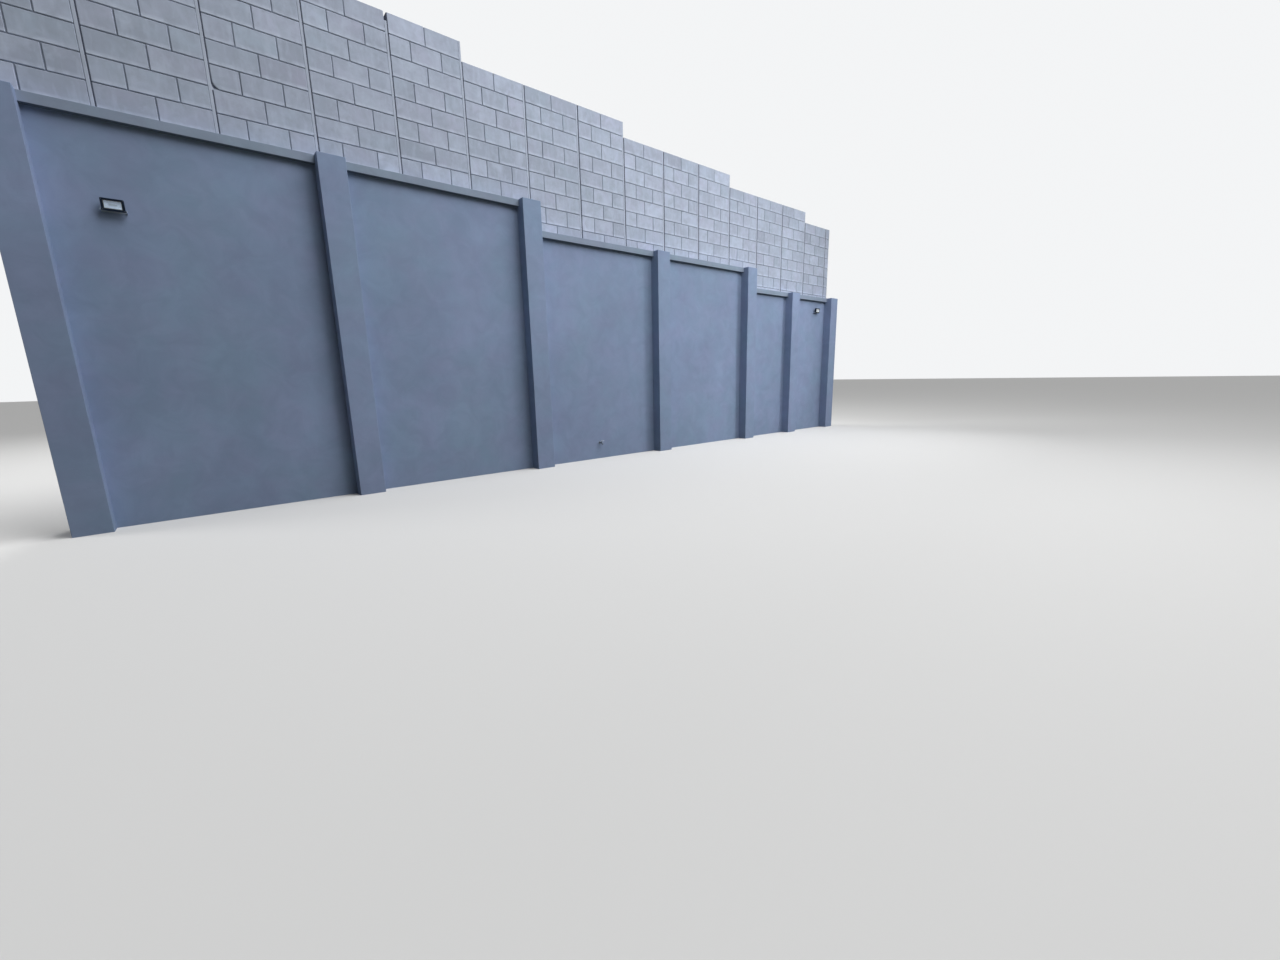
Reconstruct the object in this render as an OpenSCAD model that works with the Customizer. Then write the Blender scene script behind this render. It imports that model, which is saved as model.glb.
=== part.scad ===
// Rendered garden wall in six whole bays against a taller wall of large grey blocks.
// Millimetres, +Z up, the row runs along +X and its rendered face looks to -Y.
// The origin is in the middle of the foot of the whole row.

/* [Row] */
// Centre line of pier 0 to centre line of pier 1
bay_1_length = 2740; // [1600:10:4000]
// Centre line of pier 1 to centre line of pier 2
bay_2_length = 2770; // [1600:10:4000]
// Centre line of pier 2 to centre line of pier 3
bay_3_length = 2840; // [1600:10:4000]
// Centre line of pier 3 to centre line of pier 4
bay_4_length = 2770; // [1600:10:4000]
// Centre line of pier 4 to centre line of pier 5
bay_5_length = 1770; // [1200:10:4000]
// Centre line of pier 5 to centre line of pier 6
bay_6_length = 1830; // [1400:10:4000]
// Top of the highest coping above the ground
wall_height = 4300; // [3600:10:5200]
// How far the coping drops at each step
wall_step = 400; // [200:10:500]
// Bays at one height before the coping steps down
bays_per_step = 2; // [1:1:6]

/* [Piers] */
// Width of a pier along the row
pier_width = 320; // [220:5:450]
// How far a pier stands out from the panels
pier_projection = 200; // [170:5:300]
// Bevel on the front arrises of piers and copings
arris = 8; // [2:1:20]

/* [Panels and copings] */
// Thickness of the rendered panels
panel_thickness = 150; // [100:5:250]
// Height of the coping band
coping_height = 100; // [60:5:180]
// How far the coping stands out from the panel
coping_projection = 68; // [30:1:150]

/* [Block wall] */
// Thickness of the block wall
block_thickness = 250; // [150:5:400]
// Top of the block wall at its high end
block_wall_height = 6580; // [5600:10:8000]
// Height of one course, also the drop at each step of the top
course_height = 250; // [150:5:300]
// Block bays at one height before the top steps down
block_bays_per_step = 3; // [1:1:15]
// Width of the first block bay as a share of a whole one
first_bay_share = 0.84; // [0.4:0.01:1]
// Width of the last block bay as a share of a whole one
last_bay_share = 1.19; // [0.4:0.01:1.6]
// Width of the flat strip at the right end of a block bay
strip_width = 30; // [20:1:90]
// Width of the deep groove beside the strip
groove_width = 12; // [6:1:30]
// Depth of the deep groove
groove_depth = 8; // [3:1:20]
// Width and depth of the fine line on the other side of the strip
line_size = 4; // [2:1:10]
// Length of the piece that is broken off the top of one strip
broken_length = 105; // [20:5:240]

/* [Floodlights] */
// Floodlight 1 from the centre line of pier 0
floodlight_1_along = 670; // [500:10:1200]
// Pivot of floodlight 1 below the top of its bay
floodlight_1_drop = 965; // [250:5:1900]
// Floodlight 2 back from the centre line of pier 6
floodlight_2_along = 620; // [400:10:1100]
// Pivot of floodlight 2 below the top of its bay
floodlight_2_drop = 395; // [250:5:1300]
// Width of the housing
housing_width = 180; // [140:2:240]
// Height of the housing
housing_height = 118; // [100:2:180]
// Thickness of the housing without its fins
housing_thickness = 34; // [26:1:50]
// Corner radius of the housing
housing_corner = 9; // [4:1:16]
// Width of the frame round the glass
frame_width = 18; // [10:1:26]
// How far the lamp looks down
lamp_tilt = 8; // [0:1:30]
// Height of the cooling fins
fin_height = 9; // [4:1:14]
// Number of cooling fins
fin_count = 9; // [3:1:15]
// Pivot to the face of the panel
bracket_reach = 56; // [45:1:90]
// Height of the bracket strap
strap_height = 24; // [16:1:32]
// Thickness of the bracket strap
strap_thickness = 3; // [2:0.5:5]

/* [Tap] */
// Tap from the centre line of pier 2
tap_along = 1290; // [500:10:1400]
// Height of the tap above the ground
tap_height = 300; // [150:5:900]
// Radius of the wall plate
rosette_radius = 28; // [20:1:40]
// Radius of the supply pipe
pipe_radius = 11; // [8:0.5:14]
// Tap body to the face of the panel
tap_reach = 55; // [45:1:80]
// Radius of the tap body
tap_body_radius = 15; // [14:0.5:18]
// Length of the lever
lever_length = 72; // [50:1:100]
// Radius of the bend of the spout
spout_bend = 20; // [16:1:30]
// Radius of the spout
spout_radius = 9; // [7:0.5:12]

/* [Hidden] */
bay_lengths = [bay_1_length, bay_2_length, bay_3_length, bay_4_length, bay_5_length, bay_6_length];
bay_count = len(bay_lengths);
row_length = length_to(bay_count) + pier_width;
row_left = -row_length / 2;
wall_depth = pier_projection + panel_thickness + block_thickness;
pier_face = -wall_depth / 2;
panel_face = pier_face + pier_projection;
rendered_back = panel_face + panel_thickness;
block_back = rendered_back + block_thickness;
block_bay_count = 15;
first_step_bays = 1;
whole_bays = block_bay_count - 2;
block_bay_width = row_length / (whole_bays + first_bay_share + last_bay_share);
broken_bay = 3;
floodlight_1_bay = 0;
floodlight_2_bay = 5;
tap_pier = 2;
washer_thickness = 6;
bracket_width = housing_width + 2 * (washer_thickness + strap_thickness);
pivot_margin = 9;
case_rise = housing_height / 2 - pivot_margin;
glass_thickness = 4;
tray_depth = 16;
tray_ledge = 6;
fin_thickness = 3;
fin_margin = 12;
bolt_radius = 7;
bolt_head = 4;
rosette_thickness = 5;
bonnet_radius = 10;
bonnet_height = 32;
lever_thickness = 5;
lever_width = 14;
lever_hub_radius = 9;
lever_hub_height = 9;
nut_radius = 12.5;
nut_length = 14;
cut = 1;
render_grey = [0.52, 0.59, 0.70];
coping_grey = [0.53, 0.59, 0.69];
block_grey = [0.69, 0.72, 0.78];
lamp_black = [0.05, 0.06, 0.07];
bracket_steel = [0.66, 0.69, 0.72];
lamp_glass = [0.72, 0.78, 0.80];
tap_metal = [0.78, 0.80, 0.82];
$fn = 48;

function length_to(i) = i == 0 ? 0 : bay_lengths[i - 1] + length_to(i - 1);
function pier_x(i) = row_left + pier_width / 2 + length_to(i);
function bay_top(i) = wall_height - wall_step * floor(i / bays_per_step);
function pier_top(i) = bay_top(max(i - 1, 0));
function bay_left(i) = pier_x(i) + pier_width / 2;
function bay_clear(i) = bay_lengths[i] - pier_width;
function joint_x(k) = k == 0 ? row_left
    : round(row_left + block_bay_width * (k - 1 + first_bay_share));
function block_bay_end(k) = k == block_bay_count - 1 ? row_left + row_length : joint_x(k + 1);
function block_top(k) = block_wall_height
    - course_height * floor((k + first_step_bays) / block_bays_per_step);
function two_digits(n) = str(floor(n / 10), n % 10);

// Pier: a rendered column with bevelled front arrises
module pier(i) {
    color(render_grey)
        translate([pier_x(i), 0, 0])
            linear_extrude(pier_top(i))
                polygon([
                    [-pier_width / 2, rendered_back],
                    [-pier_width / 2, pier_face + arris],
                    [-pier_width / 2 + arris, pier_face],
                    [pier_width / 2 - arris, pier_face],
                    [pier_width / 2, pier_face + arris],
                    [pier_width / 2, rendered_back]
                ]);
}

// Panel: the flat rendered wall between two piers
module panel(i) {
    color(render_grey)
        translate([bay_left(i), panel_face, 0])
            cube([bay_clear(i), panel_thickness, bay_top(i) - coping_height]);
}

// Coping: a band on top of the panel, out over its face
module coping(i) {
    front = panel_face - coping_projection;
    color(coping_grey)
        translate([bay_left(i), 0, bay_top(i) - coping_height])
            rotate([90, 0, 90])
                linear_extrude(bay_clear(i))
                    polygon([
                        [rendered_back, 0],
                        [rendered_back, coping_height],
                        [front + arris, coping_height],
                        [front, coping_height - arris],
                        [front, arris],
                        [front + arris, 0]
                    ]);
}

// Upright groove cut into both faces of the block wall
module block_groove(x, width, depth, top) {
    for (y = [rendered_back - cut, block_back - depth])
        translate([x, y, -cut])
            cube([width, depth + cut, top + 2 * cut]);
}

// Block bay: one upright strip of the block wall with its end strip and grooves
module block_bay(k) {
    left = joint_x(k);
    right = block_bay_end(k);
    top = block_top(k);
    color(block_grey)
        difference() {
            translate([left, rendered_back, 0])
                cube([right - left, block_thickness, top]);
            if (k > 0)
                block_groove(left - cut, groove_width + cut, groove_depth, top);
            if (k < block_bay_count - 1 || last_bay_share > 1)
                block_groove(joint_x(k + 1) - strip_width - line_size, line_size, line_size, top);
            if (k == block_bay_count - 1 && last_bay_share > 1)
                block_groove(joint_x(k + 1), groove_width, groove_depth, top);
            if (k == broken_bay)
                translate([right - strip_width, rendered_back - cut, top - broken_length])
                    cube([strip_width + cut, block_thickness + 2 * cut, broken_length + cut]);
        }
}

// Plate with round corners, its face in XZ and its thickness along +Y
module rounded_plate(width, height, thickness, radius) {
    translate([-width / 2 + radius, 0, -height / 2])
        cube([width - 2 * radius, thickness, height]);
    translate([-width / 2, 0, -height / 2 + radius])
        cube([width, thickness, height - 2 * radius]);
    for (x = [-width / 2 + radius, width / 2 - radius])
        for (z = [-height / 2 + radius, height / 2 - radius])
            translate([x, 0, z])
                rotate([-90, 0, 0])
                    cylinder(r = radius, h = thickness);
}

// Place of a floodlight pivot, with +Y to the wall
module at_floodlight(which) {
    x = which == 1 ? pier_x(floodlight_1_bay) + floodlight_1_along
        : pier_x(floodlight_2_bay + 1) - floodlight_2_along;
    z = which == 1 ? bay_top(floodlight_1_bay) - floodlight_1_drop
        : bay_top(floodlight_2_bay) - floodlight_2_drop;
    translate([x, panel_face - bracket_reach, z])
        children();
}

// Place of the case of a floodlight: the middle of its front, tilted about the pivot
module at_case(which) {
    at_floodlight(which)
        rotate([lamp_tilt, 0, 0])
            translate([0, -housing_thickness / 2, case_rise])
                children();
}

// Bracket: a strap bent to a U with round ends, its back on the panel, with two bolt heads
module floodlight_bracket(which) {
    color(bracket_steel)
        at_floodlight(which) {
            translate([-bracket_width / 2, bracket_reach - strap_thickness, -strap_height / 2])
                cube([bracket_width, strap_thickness, strap_height]);
            for (side = [-1, 1]) {
                translate([side * (bracket_width - strap_thickness) / 2, 0, 0]) {
                    translate([-strap_thickness / 2, 0, -strap_height / 2])
                        cube([strap_thickness, bracket_reach, strap_height]);
                    rotate([0, 90, 0])
                        cylinder(r = strap_height / 2, h = strap_thickness, center = true);
                }
                translate([side * (bracket_width + bolt_head) / 2, 0, 0])
                    rotate([0, 90, 0])
                        cylinder(r = bolt_radius, h = bolt_head, center = true);
            }
        }
}

// Housing: a tray with a seat for the glass, cooling fins on its back and a washer at each pivot
module floodlight_housing(which) {
    inner_width = housing_width - 2 * frame_width;
    inner_height = housing_height - 2 * frame_width;
    fin_space = (housing_width - 2 * fin_margin - fin_thickness) / (fin_count - 1);
    color(lamp_black)
        at_case(which) {
            difference() {
                rounded_plate(housing_width, housing_height, housing_thickness, housing_corner);
                translate([0, -cut, 0])
                    rounded_plate(inner_width, inner_height, glass_thickness + cut, housing_corner / 2);
                rounded_plate(inner_width - 2 * tray_ledge, inner_height - 2 * tray_ledge,
                              tray_depth, housing_corner / 2);
            }
            for (i = [0 : fin_count - 1])
                translate([-housing_width / 2 + fin_margin + i * fin_space,
                           housing_thickness - cut, -housing_height / 2 + fin_margin])
                    cube([fin_thickness, fin_height + cut, housing_height - 2 * fin_margin]);
            for (side = [-1, 1])
                translate([side * (housing_width + washer_thickness - housing_corner) / 2,
                           housing_thickness / 2, -case_rise])
                    rotate([0, 90, 0])
                        cylinder(r = bolt_radius, h = washer_thickness + housing_corner, center = true);
        }
}

// Glass: the flat pane on the ledge of the housing
module floodlight_glass(which) {
    color(lamp_glass)
        at_case(which)
            rounded_plate(housing_width - 2 * frame_width, housing_height - 2 * frame_width,
                          glass_thickness, housing_corner / 2);
}

// Place of the tap: on the face of a panel, +Y to the wall
module at_tap() {
    translate([pier_x(tap_pier) + tap_along, panel_face, tap_height])
        children();
}

// Tap body: wall plate, pipe, body with bonnet, bent spout with a hose nut
module tap_body() {
    color(tap_metal)
        at_tap() {
            rotate([90, 0, 0]) {
                cylinder(r = rosette_radius, h = rosette_thickness);
                cylinder(r = pipe_radius, h = tap_reach);
            }
            translate([0, -tap_reach + tap_body_radius, 0])
                rotate([90, 0, 0])
                    cylinder(r = tap_body_radius, h = 2 * tap_body_radius);
            translate([0, -tap_reach, 0])
                cylinder(r = bonnet_radius, h = bonnet_height);
            translate([0, -tap_reach - tap_body_radius, -spout_bend])
                rotate([90, 0, -90])
                    rotate_extrude(angle = 90)
                        translate([spout_bend, 0])
                            circle(r = spout_radius);
            translate([0, -tap_reach - tap_body_radius - spout_bend, -spout_bend - nut_length])
                cylinder(r = nut_radius, h = nut_length);
        }
}

// Tap lever: a hub on the bonnet and a flat lever with a round end
module tap_lever() {
    color(tap_metal)
        at_tap()
            translate([0, -tap_reach, bonnet_height]) {
                cylinder(r = lever_hub_radius, h = lever_hub_height);
                translate([0, -lever_width / 2, lever_hub_height - lever_thickness])
                    cube([lever_length, lever_width, lever_thickness]);
                translate([lever_length, 0, lever_hub_height - lever_thickness])
                    cylinder(r = lever_width / 2, h = lever_thickness);
            }
}

for (i = [0 : bay_count])
    pier(i);
for (i = [0 : bay_count - 1]) {
    panel(i);
    coping(i);
}
for (k = [0 : block_bay_count - 1])
    block_bay(k);
for (which = [1, 2]) {
    floodlight_bracket(which);
    floodlight_housing(which);
    floodlight_glass(which);
}
tap_body();
tap_lever();
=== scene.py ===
"""Looks of a rendered garden wall in stepped bays, with a wall of large blocks behind it."""
import math

import bpy
import numpy as np
from bpy.props import FloatProperty, FloatVectorProperty, IntProperty, PointerProperty
from bpy.types import Operator, Panel, PropertyGroup
from mathutils import Matrix, Vector


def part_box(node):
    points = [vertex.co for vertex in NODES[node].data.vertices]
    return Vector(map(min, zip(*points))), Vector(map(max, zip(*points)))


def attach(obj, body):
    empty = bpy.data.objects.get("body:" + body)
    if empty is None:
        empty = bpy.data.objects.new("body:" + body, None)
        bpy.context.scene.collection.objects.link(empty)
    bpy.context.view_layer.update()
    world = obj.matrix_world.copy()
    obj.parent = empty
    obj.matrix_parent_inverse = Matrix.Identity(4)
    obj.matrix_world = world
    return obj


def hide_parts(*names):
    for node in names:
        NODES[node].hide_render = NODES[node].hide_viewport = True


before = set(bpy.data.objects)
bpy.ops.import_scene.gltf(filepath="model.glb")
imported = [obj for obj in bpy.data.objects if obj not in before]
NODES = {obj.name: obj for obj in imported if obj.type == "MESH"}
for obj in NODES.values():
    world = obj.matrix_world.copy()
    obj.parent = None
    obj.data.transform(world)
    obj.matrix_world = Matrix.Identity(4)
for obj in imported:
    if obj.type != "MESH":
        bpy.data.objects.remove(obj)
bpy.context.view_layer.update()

bl_info = {
    "name": "Stepped Garden Wall",
    "version": (1, 0, 0),
    "blender": (4, 5, 0),
    "location": "View3D > Sidebar > Garden Wall",
    "description": "Render, blockwork, floodlights and tap on the frame of a garden wall",
    "category": "Add Mesh",
}

PIERS = sorted(n for n in NODES if n.startswith("pier_"))
PANELS = sorted(n for n in NODES if n.startswith("panel_"))
COPINGS = sorted(n for n in NODES if n.startswith("coping_"))
BLOCK_BAYS = sorted(n for n in NODES if n.startswith("block_bay_"))
# Each floodlight and how clear its glass is; the far one's is made less clear so that its pale
# colour shows, a painted highlight
LAMPS = {"1": 0.92, "2": 0.35}
BODY = "root"
MM = 0.001
# Gap that keeps two faces out of one plane
SKIN = 0.0005
# Places closer than this along the row are taken as one
SAME_PLACE = 0.01
ROW_AXIS, DEPTH_AXIS, UP_AXIS = 0, 1, 2


# Settings
class RenderCoatSettings(PropertyGroup):
    """The smooth painted render of piers, panels and copings."""

    coat: FloatVectorProperty(
        name="Coat", description="Colour of the painted render", subtype="COLOR",
        size=3, min=0, max=1, default=(0.237, 0.306, 0.472))
    coping_coat: FloatVectorProperty(
        name="Coping coat", description="Colour of the copings, a little greener", subtype="COLOR",
        size=3, min=0, max=1, default=(0.240, 0.296, 0.400))
    # Painted shade: how dark the copings' undersides are painted, standing in for the shade under
    # them
    painted_soffit_shade: FloatProperty(
        name="Soffit", description="Tone of the copings' shaded undersides", min=0.1, max=1,
        default=0.5)
    arris: FloatProperty(
        name="Arris", description="Radius of the rounded edges", subtype="DISTANCE",
        unit="LENGTH", min=0.002, max=0.015, default=0.0035)
    grid: FloatProperty(
        name="Grid", description="Spacing of the mesh on a face", subtype="DISTANCE",
        unit="LENGTH", min=0.02, max=0.3, default=0.06)
    wave: FloatProperty(
        name="Wave", description="Unevenness left by the trowel", subtype="DISTANCE",
        unit="LENGTH", min=0, max=0.005, default=0.0022)
    tuck: FloatProperty(
        name="Tuck", description="How far panels and copings run into the piers",
        subtype="DISTANCE", unit="LENGTH", min=0, max=0.01, default=0.005)


class BlockSettings(PropertyGroup):
    """The large grey blocks and their joints."""

    face: FloatVectorProperty(
        name="Face", description="Colour of the block faces", subtype="COLOR",
        size=3, min=0, max=1, default=(0.430, 0.487, 0.605))
    mortar: FloatVectorProperty(
        name="Mortar", description="Colour of the recessed joints", subtype="COLOR",
        size=3, min=0, max=1, default=(0.230, 0.262, 0.336))
    course: FloatProperty(
        name="Course", description="Height of one course", subtype="DISTANCE",
        unit="LENGTH", min=0.1, max=0.4, default=0.25)
    levelling: FloatProperty(
        name="Levelling course", description="Height of the strip under the first course",
        subtype="DISTANCE", unit="LENGTH", min=0.02, max=0.2, default=0.08)
    lift_high: FloatProperty(
        name="Lift at the high end", description="Courses of the first two bays set up by this",
        subtype="DISTANCE", unit="LENGTH", min=0, max=0.05, default=0.023)
    lift: FloatProperty(
        name="Lift", description="Courses of the other bays set up by this",
        subtype="DISTANCE", unit="LENGTH", min=0, max=0.05, default=0.006)
    lift_low: FloatProperty(
        name="Lift at the low end", description="Courses of the last four bays set up by this",
        subtype="DISTANCE", unit="LENGTH", min=0, max=0.05, default=0.016)
    middle: FloatProperty(
        name="Middle block", description="Length of the middle block in a course of three",
        subtype="DISTANCE", unit="LENGTH", min=0.3, max=0.5, default=0.42)
    joint: FloatProperty(
        name="Joint", description="Width of a joint", subtype="DISTANCE",
        unit="LENGTH", min=0.004, max=0.03, default=0.012)
    recess: FloatProperty(
        name="Recess", description="Depth of the mortar behind the faces", subtype="DISTANCE",
        unit="LENGTH", min=0.002, max=0.02, default=0.007)
    edge: FloatProperty(
        name="Edge", description="Radius of the block edges", subtype="DISTANCE",
        unit="LENGTH", min=0.001, max=0.01, default=0.004)
    strip: FloatProperty(
        name="Strip", description="Width of the flat strip at the end of a bay",
        subtype="DISTANCE", unit="LENGTH", min=0.02, max=0.09, default=0.030)
    strip_line: FloatProperty(
        name="Strip line", description="Width of the fine line beside the first strip",
        subtype="DISTANCE", unit="LENGTH", min=0.002, max=0.01, default=0.004)
    groove: FloatProperty(
        name="Groove", description="Width of the dark groove beside the strip",
        subtype="DISTANCE", unit="LENGTH", min=0.006, max=0.03, default=0.0115)
    groove_low: FloatProperty(
        name="Groove at the low end", description="Width of the groove in the lower bays",
        subtype="DISTANCE", unit="LENGTH", min=0.006, max=0.03, default=0.018)
    # Painted shade: a dark fill just behind the faces of the grooves stands in for the shade of an
    # open groove
    groove_shade: FloatVectorProperty(
        name="Sealant", description="Colour of the dark filler in the grooves", subtype="COLOR",
        size=3, min=0, max=1, default=(0.075, 0.085, 0.125))
    groove_shade_depth: FloatProperty(
        name="Sealant depth", description="Depth of the filler behind the faces",
        subtype="DISTANCE", unit="LENGTH", min=0.0005, max=0.006, default=0.0022)
    broken_strip: FloatProperty(
        name="Broken strip", description="Length missing from the top of one strip",
        subtype="DISTANCE", unit="LENGTH", min=0, max=0.24, default=0.105)
    spread: FloatProperty(
        name="Spread", description="How much the blocks differ in tone",
        subtype="FACTOR", min=0, max=0.4, default=0.20)
    seed: IntProperty(name="Seed", description="Start of the random draws", min=0, default=7)


class LampSettings(PropertyGroup):
    """The two floodlights."""

    tilt: FloatProperty(
        name="Tilt", description="How far the lamps look down", subtype="ANGLE",
        unit="ROTATION", min=0, max=math.pi / 2, default=math.radians(8))
    width: FloatProperty(
        name="Width", description="Width of the case", subtype="DISTANCE",
        unit="LENGTH", min=0.1, max=0.3, default=0.18)
    height: FloatProperty(
        name="Height", description="Height of the case", subtype="DISTANCE",
        unit="LENGTH", min=0.08, max=0.2, default=0.118)
    thickness: FloatProperty(
        name="Thickness", description="Thickness of the case", subtype="DISTANCE",
        unit="LENGTH", min=0.02, max=0.06, default=0.034)
    rise: FloatProperty(
        name="Rise", description="Middle of the case above the pivot", subtype="DISTANCE",
        unit="LENGTH", min=0, max=0.1, default=0.050)
    corner: FloatProperty(
        name="Corner", description="Corner radius of the case", subtype="DISTANCE",
        unit="LENGTH", min=0.002, max=0.02, default=0.009)
    rim: FloatProperty(
        name="Rim", description="Width of the frame round the glass", subtype="DISTANCE",
        unit="LENGTH", min=0.004, max=0.03, default=0.018)
    case: FloatVectorProperty(
        name="Case", description="Colour of the die-cast case", subtype="COLOR",
        size=3, min=0, max=1, default=(0.010, 0.016, 0.030))


class TapSettings(PropertyGroup):
    """The garden tap."""

    # Painted shade: the body is painted dark, standing in for the shade on it; the lever keeps the
    # bright plate
    metal: FloatVectorProperty(
        name="Metal", description="Colour of the shaded body", subtype="COLOR",
        size=3, min=0, max=1, default=(0.16, 0.19, 0.23))
    bright: FloatVectorProperty(
        name="Bright metal", description="Colour of the plated lever", subtype="COLOR",
        size=3, min=0, max=1, default=(0.66, 0.70, 0.76))
    lever_length: FloatProperty(
        name="Lever", description="Length of the lever from its hub", subtype="DISTANCE",
        unit="LENGTH", min=0.04, max=0.1, default=0.072)


class StageSettings(PropertyGroup):
    """Floor, light and camera."""

    floor: FloatVectorProperty(
        name="Floor", description="Colour of the floor", subtype="COLOR",
        size=3, min=0, max=1, default=(0.62, 0.62, 0.615))
    bounce: FloatVectorProperty(
        name="Bounce", description="Colour of the light that the floor throws back",
        subtype="COLOR", size=3, min=0, max=1, default=(0.115, 0.115, 0.080))
    backdrop: FloatVectorProperty(
        name="Backdrop", description="Colour behind the wall", subtype="COLOR",
        size=3, min=0, max=1, default=(0.90, 0.91, 0.92))
    fill: FloatProperty(
        name="Fill", description="Strength of the even light", min=0, max=2, default=0.03)
    key: FloatProperty(
        name="Key", description="Power of the large soft lamp", unit="POWER",
        min=0, default=455)
    near: FloatProperty(
        name="Near", description="Power of the lamp above the near bays", unit="POWER",
        min=0, default=490)
    far: FloatProperty(
        name="Far", description="Power of the narrow lamp on the foot of the far bays",
        unit="POWER", min=0, default=76)
    sky: FloatProperty(
        name="Sky", description="Strength of the soft light from the upper right", min=0,
        default=1.98)
    rear: FloatProperty(
        name="Rear", description="Power of the lamp on the back", unit="POWER",
        min=0, default=1650)
    end: FloatProperty(
        name="End", description="Power of the lamp on the high end", unit="POWER",
        min=0, default=480)
    eye: FloatVectorProperty(
        name="Eye", description="Place of the camera", subtype="TRANSLATION", unit="LENGTH",
        size=3, default=(-6.307, -8.09, 1.54))
    turn: FloatProperty(
        name="Turn", description="Camera turned from +Y towards +X", subtype="ANGLE",
        unit="ROTATION", default=math.radians(40.12))
    dip: FloatProperty(
        name="Dip", description="Camera tipped down", subtype="ANGLE",
        unit="ROTATION", default=math.radians(11.46))
    roll: FloatProperty(
        name="Roll", description="Camera rolled", subtype="ANGLE",
        unit="ROTATION", default=math.radians(-1.22))
    lens: FloatProperty(
        name="Lens", description="Focal length on a 36 mm sensor", subtype="DISTANCE_CAMERA",
        unit="CAMERA", min=1, default=14.476)


# Mesh tools
def waves(points, scale, seed, count=7):
    """Smooth unevenness between about -1 and 1 at each point, from a few plane waves."""
    draw = np.random.default_rng(seed)
    total = np.zeros(len(points))
    for _ in range(count):
        way = draw.normal(size=3)
        way *= scale * draw.uniform(0.5, 1.7) / np.linalg.norm(way)
        total += np.sin(points @ way + draw.uniform(0, math.tau))
    return total / math.sqrt(count * 2)


def grid_lines(low, high, radius, cell, arc, round_low, round_high):
    """Places of the mesh lines along one side, close together where the edge is rounded."""
    near_edge = [radius * (1 - math.tan(math.radians(a))) for a in arc] + [2 * radius]
    if not radius or high - low < 4.5 * radius:
        near_edge = [0.0]
    first = [low + t for t in near_edge] if round_low else [low]
    last = [high - t for t in reversed(near_edge)] if round_high else [high]
    steps = max(1, round((last[0] - first[-1]) / cell))
    middle = np.linspace(first[-1], last[0], steps + 1)[1:-1]
    return np.concatenate([first, middle, last])


def on_plane(points, axis, place):
    """Which points lie in the plane at this place of an axis."""
    return np.abs(points[:, axis] - place) < 1e-5


def soft_box(low, high, radius, cell, soft=((1, 1), (1, 1), (1, 1)), arc=(45, 30, 15, 0)):
    """A box of quads with rounded edges on its soft sides: points and faces."""
    low, high = np.array(low, float), np.array(high, float)
    lines = [grid_lines(low[a], high[a], radius, cell, arc, *soft[a]) for a in range(3)]
    points, faces, start = [], [], 0
    for axis in range(3):
        u, v = (axis + 1) % 3, (axis + 2) % 3
        across, along = np.meshgrid(lines[u], lines[v], indexing="ij")
        rows, cols = across.shape
        index = np.arange(rows * cols).reshape(rows, cols)
        quad = np.stack([index[:-1, :-1], index[1:, :-1], index[1:, 1:], index[:-1, 1:]], -1)
        quad = quad.reshape(-1, 4)
        for side, place in enumerate((low[axis], high[axis])):
            sheet = np.empty((rows * cols, 3))
            sheet[:, axis] = place
            sheet[:, u], sheet[:, v] = across.ravel(), along.ravel()
            points.append(sheet)
            faces.append((quad if side else quad[:, ::-1]) + start)
            start += len(sheet)
    points = np.concatenate(points)
    faces = np.concatenate(faces)
    _, keep, merged = np.unique(np.round(points / 1e-6).astype(np.int64), axis=0,
                                return_index=True, return_inverse=True)
    points, faces = points[keep], merged.reshape(-1)[faces]
    inner_low = low + radius * np.array([s[0] for s in soft])
    inner_high = high - radius * np.array([s[1] for s in soft])
    core = np.clip(points, inner_low, inner_high)
    offset = points - core
    size = np.linalg.norm(offset, axis=1)
    ratio = np.divide(np.abs(offset).max(axis=1), size, out=np.ones(len(size)), where=size > 1e-9)
    return core + offset * ratio[:, None], faces


# Faces that meet at more than this stay sharp
SHARP = math.radians(32)
BLOCK_SHARP = math.radians(50)


class Builder:
    """Gathers the meshes of one piece, with a material and a block tone for each."""

    def __init__(self):
        self.points, self.faces, self.slots, self.tones, self.count = [], [], [], [], 0

    def add(self, points, faces, slot=0, tone=(0.5, 0.5, 0.5)):
        """Takes in one more mesh."""
        points = np.asarray(points, float)
        self.points.append(points)
        if isinstance(faces, np.ndarray):
            faces = faces.tolist()
        self.faces.extend([[i + self.count for i in face] for face in faces])
        self.slots.extend([slot] * len(faces))
        self.tones.append(np.broadcast_to(tone, (len(points), 3)))
        self.count += len(points)
        return self

    def piece(self, name, finishes, slot_name, replaced=(), sharp=SHARP):
        """Makes the object, lets it ride on the body and stand for the CAD nodes."""
        mesh = bpy.data.meshes.new(name)
        mesh.from_pydata(np.concatenate(self.points).tolist(), [], self.faces)
        for finish in finishes:
            mesh.materials.append(finish)
        mesh.polygons.foreach_set("material_index", self.slots)
        mesh.polygons.foreach_set("use_smooth", [True] * len(self.faces))
        tone = mesh.attributes.new("tone", "FLOAT_VECTOR", "POINT")
        tone.data.foreach_set("vector", np.concatenate(self.tones).astype(np.float32).ravel())
        mesh.update()
        mesh.set_sharp_from_angle(angle=sharp)
        if mesh.validate():
            raise RuntimeError(f"{name} has faces that Blender had to repair")
        made = bpy.data.objects.new(name, mesh)
        bpy.context.scene.collection.objects.link(made)
        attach(made, BODY)
        if replaced:
            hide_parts(*replaced)
        return made


def loft(rings, cap_first=True, cap_last=True):
    """Skin over rings of points that have as many points each."""
    count = len(rings[0])
    faces = []
    for r in range(len(rings) - 1):
        for i in range(count):
            j = (i + 1) % count
            faces.append([r * count + i, r * count + j, (r + 1) * count + j, (r + 1) * count + i])
    if cap_first:
        faces.append(list(range(count))[::-1])
    if cap_last:
        faces.append([(len(rings) - 1) * count + i for i in range(count)])
    return np.concatenate([np.asarray(r, float) for r in rings]), faces


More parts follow.
